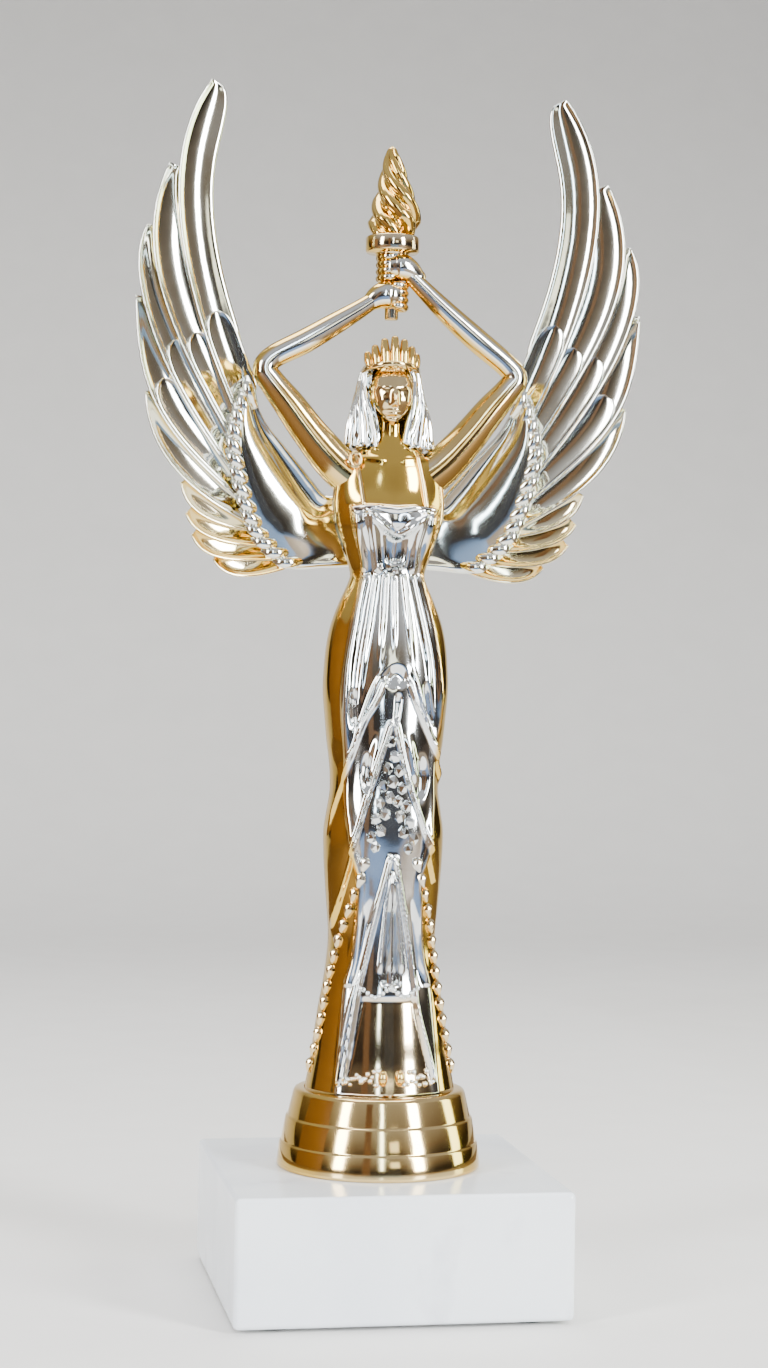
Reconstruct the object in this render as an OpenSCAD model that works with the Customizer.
// Winged victory figure trophy: a moulded, metal-plated figure with two clip-in wings and a torch
// on a stepped collar, clamped to a square marble block by one rod, two nuts and two washers.
// Origin: bottom centre, +Z up, the figure faces -Y. Millimetres.

/* [Marble] */
// Side of the square marble block
marble_side = 80; // [76:1:90]
// Height of the marble block
marble_h = 30; // [28:1:40]
// Bevel on the marble's edges
marble_bevel = 0.8; // [0.4:0.1:1.5]
// Diameter of each felt pad
pad_d = 12; // [8:1:14]
// Thickness of the felt pads
pad_h = 1; // [0.6:0.1:1.5]

/* [Collar] */
// Diameter of the collar where it stands on the marble
collar_d = 50; // [48:0.5:54]
// Height of the collar
collar_h = 19; // [18:0.5:22]
// Wall of the collar
collar_wall = 2; // [1.6:0.1:2.4]

/* [Figure] */
// Wall of the hollow figure
figure_wall = 1.8; // [1.6:0.1:2]
// Clearance round the spigot under the hem
spigot_gap = 0.1; // [0.05:0.05:0.2]

/* [Wings] */
// Thickness of a feather
feather_t = 2; // [1.6:0.1:2.4]
// How far the wings cup forward at their outer edge
wing_cup = 12; // [8:1:16]

/* [Fixings] */
// Diameter of the clamping rod
rod_d = 6; // [5:0.1:6]
// Width of the nuts across their flats
nut_af = 10; // [9.5:0.1:10]
// Height of the nuts
nut_h = 5; // [4.5:0.1:5]

/* [Hidden] */
$fn = 64;

GOLD = [0.80, 0.60, 0.25];
SILVER = [0.80, 0.81, 0.82];
STEEL = [0.55, 0.56, 0.58];
MARBLE = [0.88, 0.89, 0.90];
FELT = [0.18, 0.20, 0.19];

marble_top = pad_h + marble_h;
deck_z = marble_top + collar_h;
deck_t = 2;                        // thickness of the collar's top deck
spigot_r = 12.9;
floor_t = 3;                       // floor of the figure, which the captive nut pulls on
pocket_top = deck_z + floor_t + nut_h;
rod_clear = 0.5;                   // radial clearance of the rod in the marble
pocket_d = 20;                     // counterbore under the marble
pocket_h = 12;
pad_inset = 10;
flat_t = 1.6;
lock_t = 1.6;
nut_z = pad_h + pocket_h - flat_t - lock_t - nut_h;
rod_z = pad_h + 2;

figure_sides = 22;                 // sides of the figure's cross-sections
figure_foot = 50;                  // height of the hem in the tables below
rise = deck_z - figure_foot;       // lifts everything in those tables with the base
pin_r = 1.2;                       // locating pins between the figure's halves
pin_l = 4;
boss_r = 2.6;
pin_bosses = [[66, 12.3], [124, 10.4], [186, 7.4]];   // height and length of each boss
peg_r = 1.5;                       // wing pegs
peg_l = 3.5;
peg_spots = [[7.5, 182], [7.5, 192]];   // X and height of each peg
seat_y = 9;                        // flat on the back that a wing's root sits on
seat_x = [3, 12];                  // inner and outer edge of that seat
seat_z = [177, 197];               // bottom and top of that seat
handle_r = 1.7;
handle_bottom = 238.5;
cup_z = 249;
flame_z = 258.5;
flame_h = 23;

// Figure: height, half width, front and back half depth of each station
figure_stations = [
    [50, 18.6, 15.5, 15.5], [58, 17.1, 14.2, 14.2], [70, 15.5, 12.8, 12.8], [85, 13.4, 11.6, 11.6],
    [99, 14.2, 11.4, 11.4], [112, 14.9, 11.6, 11.6], [123, 13.5, 11.4, 11.4], [135, 14.5, 11.6, 12],
    [148, 15.6, 11.6, 12], [160, 14.6, 10.6, 11], [168, 12.2, 8.6, 9], [175, 9.4, 7.4, 7.6],
    [183, 12.3, 8.6, 8.2], [189, 14.0, 9.8, 8.4], [196, 13.6, 8.6, 8], [201, 10.5, 5.6, 6.2],
    [205, 5.0, 3.8, 4.6], [209, 3.8, 3.5, 4], [213, 4.2, 4.6, 4.4]];
// Head with its hair, the same way
head_stations = [
    [206.5, 10.6, 0.8, 5.4], [209, 11.0, 2.0, 6.6], [214, 9.6, 5.2, 7.6], [219, 7.9, 7.0, 7.8],
    [223, 7.4, 7.3, 7.9], [227, 5.9, 5.7, 6.7], [230, 2.2, 1.9, 3.3]];
// Shoulder, elbow and fist of the arm on +X, and the same arm's radii
arm_path = [[9, 0, 199], [15, 0, 204.5], [24.4, 0, 215.2], [31, 0, 225], [22, 0, 232.5],
    [10, 0, 243], [2.5, 0, 250]];
arm_radii = [4.2, 4.0, 3.3, 2.9, 2.7, 2.2, 2.1];
other_fist = [[10, 0, 239.5], [1.5, 0, 245]];
fists = [[1, 0, 250.5], [-1, 0, 244.5]];
fist_r = 3.2;

// Outer rims of one wing's feathers as cubic curves in X and Z, then width and layer
primaries = [
    [[37, 216], [46, 232], [63, 272], [44.5, 296.5], 8.5, 0],
    [[36, 208], [51, 230], [67, 252], [55, 275], 8.5, 1],
    [[34, 200], [59, 225], [66, 248], [60.2, 259], 8.5, 2],
    [[33, 194], [57, 211], [62, 220], [62.5, 242], 8, 3],
    [[32, 189], [48, 195], [59, 205], [60, 218.5], 8, 4]];
short_feathers = [
    [[30, 186], [42, 187], [50, 190], [50.8, 197], 7, 5],
    [[28, 182.5], [40, 182.5], [47, 184.5], [49, 189.5], 6, 6],
    [[25, 179.7], [37, 178], [45, 179], [47.5, 184.5], 6, 7],
    [[14, 181], [27, 174.5], [38, 172.5], [42, 179], 7, 8]];
// Lower and upper edge of the wing's arm, as X and Z
plate_bottom = [[5, 178], [24, 177.5], [29, 181], [33, 186], [37, 196], [39, 206]];
plate_top = [[5, 197], [13, 197], [19, 201], [26, 208], [32, 220], [34, 224], [36, 222], [39, 209]];
function plate_low(x) = lookup(x, plate_bottom);
function plate_high(x) = lookup(x, plate_top);

// Point at u on the smooth curve through b and c, with a and d before and after
function between(a, b, c, d, u) = (2 * b + (c - a) * u + (2 * a - 5 * b + 4 * c - d) * u * u
    + (3 * b - a - 3 * c + d) * u * u * u) / 2;
function smooth(p, steps) = concat([for (i = [0 : len(p) - 2], s = [0 : steps - 1])
    between(p[max(i - 1, 0)], p[i], p[i + 1], p[min(i + 2, len(p) - 1)], s / steps)], [p[len(p) - 1]]);
function bezier(c, t) = pow(1 - t, 3) * c[0] + 3 * t * pow(1 - t, 2) * c[1]
    + 3 * t * t * (1 - t) * c[2] + pow(t, 3) * c[3];
function unit(v) = v / norm(v);
// Place of corner j of ring i, every other ring being turned by half a side
function staggered(i, j) = j + 0.25 + 0.5 * (i % 2);
function mirrored(path) = [for (p = path) [-p[0], p[1], p[2]]];

// Solid skin through rings of equal point counts
module skin(rings) {
    m = len(rings[0]);
    n = len(rings);
    polyhedron([for (r = rings, p = r) p], concat(
        [[for (j = [0 : m - 1]) j]],
        [for (i = [0 : n - 2], j = [0 : m - 1])
            each [[i * m + j, (i + 1) * m + j, i * m + (j + 1) % m],
                [(i + 1) * m + j, (i + 1) * m + (j + 1) % m, i * m + (j + 1) % m]]],
        [[for (j = [m - 1 : -1 : 0]) (n - 1) * m + j]]));
}

// Column of ellipses through stations, shrunk by a wall
module column(stations, steps, sides, wall = 0) {
    p = smooth(stations, steps);
    skin([for (i = [0 : len(p) - 1]) [for (j = [0 : sides - 1])
        let (s = p[i], a = staggered(i, j) * 360 / sides, depth = a > 180 ? s[2] : s[3])
        [(s[1] - wall) * cos(a), (depth - wall) * sin(a), s[0]]]]);
}

// Round limb along a path that lies nearly in a plane of constant Y
module limb(path, radii, steps = 2, sides = 11) {
    p = smooth(path, steps);
    r = smooth([for (v = radii) [v]], steps);
    n = len(p);
    skin([for (i = [0 : n - 1])
        let (t = unit(p[min(i + 1, n - 1)] - p[max(i - 1, 0)]), side = unit(cross(t, [0, 1, 0])))
        [for (j = [0 : sides - 1]) p[i] + r[i][0]
            * (cos(staggered(i, j) * 360 / sides) * side
            + sin(staggered(i, j) * 360 / sides) * cross(t, side))]]);
}

module hexagon(af, h) {
    cylinder(r = af / sqrt(3), h = h, $fn = 6);
}

// Places a child lying along Y, its base on y and pointing backwards
module along_y(x, y, z) {
    translate([x, y, z]) rotate([-90, 0, 0]) children();
}

// ---- base and fixings ----
module marble_base() {
    color(MARBLE) difference() {
        intersection() {
            translate([0, 0, pad_h]) bevelled(marble_side, marble_side, marble_h);
            translate([0, -marble_side / 2, pad_h + marble_h / 2]) rotate([-90, 0, 0])
                bevelled(marble_side, marble_h, marble_side);
            translate([-marble_side / 2, 0, pad_h + marble_h / 2]) rotate([0, 90, 0])
                bevelled(marble_h, marble_side, marble_side);
        }
        cylinder(r = rod_d / 2 + rod_clear, h = 2 * marble_top);
        cylinder(d = pocket_d, h = pad_h + pocket_h);
    }
}

// Block with its four upright edges cut off
module bevelled(x, y, h) {
    a = x / 2;
    b = y / 2;
    c = marble_bevel;
    linear_extrude(h) polygon([[-a, -b + c], [-a + c, -b], [a - c, -b], [a, -b + c],
        [a, b - c], [a - c, b], [-a + c, b], [-a, b - c]]);
}

module base_pads() {
    spot = marble_side / 2 - pad_inset;
    color(FELT) for (x = [-spot, spot], y = [-spot, spot])
        translate([x, y, 0]) cylinder(d = pad_d, h = pad_h);
}

module threaded_rod() {
    color(STEEL) translate([0, 0, rod_z]) cylinder(d = rod_d, h = pocket_top + 2 - rod_z);
}

module nut(z) {
    translate([0, 0, z]) difference() {
        hexagon(nut_af, nut_h);
        translate([0, 0, -1]) cylinder(d = rod_d, h = nut_h + 2);
    }
}

module washer(z, d, t) {
    translate([0, 0, z]) difference() {
        cylinder(d = d, h = t);
        translate([0, 0, -1]) cylinder(d = rod_d + 0.4, h = t + 2);
    }
}

module base_nut() {
    color(STEEL) nut(nut_z);
}

module lock_washer() {
    color(STEEL) washer(nut_z + nut_h, 11.8, lock_t);
}

module flat_washer() {
    color(STEEL) washer(nut_z + nut_h + lock_t, 18, flat_t);
}

module captive_nut() {
    color(STEEL) nut(deck_z + floor_t);
}

// Stepped hollow collar: three tapered tiers, each a little narrower than the one below
module foot_collar() {
    r = collar_d / 2;
    w = collar_wall;
    tier = (collar_h - 0.5) / 3;
    color(GOLD) translate([0, 0, marble_top]) rotate_extrude($fn = 96) polygon([
        [r - w - 0.5, 0], [r - 0.4, 0], [r, 0.4],
        [r - 0.4, tier - 0.5], [r - 0.9, tier], [r - 1.0, tier],
        [r - 2.0, 2 * tier - 0.5], [r - 2.5, 2 * tier], [r - 2.6, 2 * tier],
        [r - 4.0, 3 * tier], [r - 4.6, collar_h],
        [spigot_r + spigot_gap, collar_h], [spigot_r + spigot_gap, collar_h - deck_t],
        [r - 5.4, collar_h - deck_t], [r - w - 2.6, 2 * tier - 1], [r - w - 1.0, tier - 1]]);
}

// ---- figure ----
// Keeps what lies on one side of the parting plane; side is -1 for the front, 1 for the back
module on_side(side) {
    intersection() {
        children();
        translate([-80, side > 0 ? 0 : -40, 300 - 2000]) cube([160, 40, 2000]);
    }
}

// The whole hollow moulding, before it is split
module figure_shell() {
    translate([0, 0, rise]) difference() {
        union() {
            column(figure_stations, 2, figure_sides);
            column(head_stations, 2, 18);
            limb(arm_path, arm_radii);
            limb(mirrored(concat([for (i = [0 : 4]) arm_path[i]], other_fist)), arm_radii);
            for (f = fists) translate(f) rotate([90, 0, 0]) scale([1.25, 1.1, 1])
                sphere(r = fist_r, $fn = 14);
        }
        column([for (s = figure_stations) if (s[0] > 60 && s[0] < 200) s], 2, 16, figure_wall);
        translate([0, 0, handle_bottom]) rotate([0, 0, 4]) cylinder(r = handle_r, h = 30, $fn = 32);
    }
}

// One half of the hollow moulding, with its locating bosses and the nut's pocket. The resize leaves
// its size alone and only hands the half on as a single mesh.
module figure_half(side) {
    resize([0, 0, 0]) difference() {
        union() {
            on_side(side) figure_shell();
            for (b = pin_bosses) along_y(0, side > 0 ? 0 : -b[1], b[0] + rise)
                cylinder(r = boss_r, h = b[1], $fn = 24);
            if (side > 0) for (x = [-seat_x[1], seat_x[0]]) translate([x, 3, seat_z[0] + rise])
                cube([seat_x[1] - seat_x[0], seat_y - 3, seat_z[1] - seat_z[0]]);
        }
        translate([0, 0, deck_z + floor_t]) hexagon(nut_af + 0.1, nut_h);
    }
}

// The rod's bore, which both halves share
module figure_bores() {
    cylinder(d = rod_d + 0.4, h = pocket_top + 4);
}

module spigot(side) {
    on_side(side) translate([0, 0, deck_z - 4]) cylinder(r = spigot_r, h = 5);
}

module body_front() {
    color(SILVER) difference() {
        union() {
            figure_half(-1);
            spigot(-1);
            for (b = pin_bosses) along_y(0, -1, b[0] + rise) cylinder(r = pin_r, h = 1 + pin_l);
        }
        figure_bores();
    }
}

module body_back() {
    color(GOLD) difference() {
        union() {
            figure_half(1);
            spigot(1);
        }
        figure_bores();
        for (b = pin_bosses) along_y(0, -1, b[0] + rise) cylinder(r = pin_r, h = pin_l + 1.5);
        for (s = peg_spots, x = [-s[0], s[0]]) along_y(x, seat_y - peg_l - 0.3, s[1] + rise)
            cylinder(r = peg_r, h = peg_l + 2);
    }
}

// ---- wings ----
function cup(x) = seat_y + feather_t - wing_cup * pow(max(x - 12, 0) / 50, 2);

// Feather with a raised outer rim and a rounded tip, along the cubic curve f[0] to f[3]
module feather(f) {
    n = 11;
    w = f[4];
    skin([for (i = [0 : n])
        let (t = i / n, p = bezier(f, t), q = bezier(f, t + 0.01) - bezier(f, t - 0.01),
            side = unit([-q[1], q[0]]), k = sqrt(max(1 - pow(t, 6), 0.03)), lift = 0.45 * f[5])
        [for (s = [[0, -0.9], [0, 0.4], [0.1, 0.5], [1, 0.5], [1, -0.4], [0.25, -0.4], [0.15, -0.9]])
            let (x = p[0] + side[0] * s[0] * w * k, z = p[1] + side[1] * s[0] * w * k)
            [x, cup(x) + lift - feather_t / 2 + s[1] * feather_t, z]]]);
}

// Leaf-shaped arm of the wing: its outline swept along X as strips that follow the cup
module wing_plate() {
    skin([for (x = [5 : 2 : 39])
        let (low = plate_low(x), high = plate_high(x), y = cup(x) - feather_t)
        [[x, y, low], [x, y + 2 * feather_t, low], [x, y + 2 * feather_t, high],
            [x, y, high], [x, y - 1, (low + high) / 2]]]);
}

module wing() {
    difference() {
        resize([0, 0, 0]) union() {
            for (f = primaries) feather(f);
            for (f = short_feathers) feather(f);
            wing_plate();
        }
        translate([0, 0, 170]) cube([20, seat_y, 40]);
    }
    for (s = peg_spots) along_y(s[0], seat_y - peg_l, s[1]) cylinder(r = peg_r, h = peg_l + 1);
}

module wing_right() {
    color(SILVER) translate([0, 0, rise]) wing();
}

module wing_left() {
    mirror([1, 0, 0]) wing_right();
}

// ---- torch ----
module torch() {
    color(GOLD) translate([0, 0, rise]) {
        rotate_extrude() polygon([[0, handle_bottom], [handle_r, handle_bottom], [handle_r, cup_z],
            [3.4, cup_z + 0.4], [4.0, cup_z + 5.2], [6.6, cup_z + 6], [6.6, cup_z + 9.5],
            [5, cup_z + 10], [0, cup_z + 10]]);
        translate([0, 0, flame_z]) linear_extrude(height = flame_h, twist = 200, scale = 0.12, slices = 16)
            polygon([for (a = [0 : 12 : 348]) (5.3 + 0.7 * cos(5 * a)) * [cos(a), sin(a)]]);
    }
}

marble_base();
base_pads();
threaded_rod();
base_nut();
lock_washer();
flat_washer();
foot_collar();
captive_nut();
body_front();
body_back();
wing_left();
wing_right();
torch();
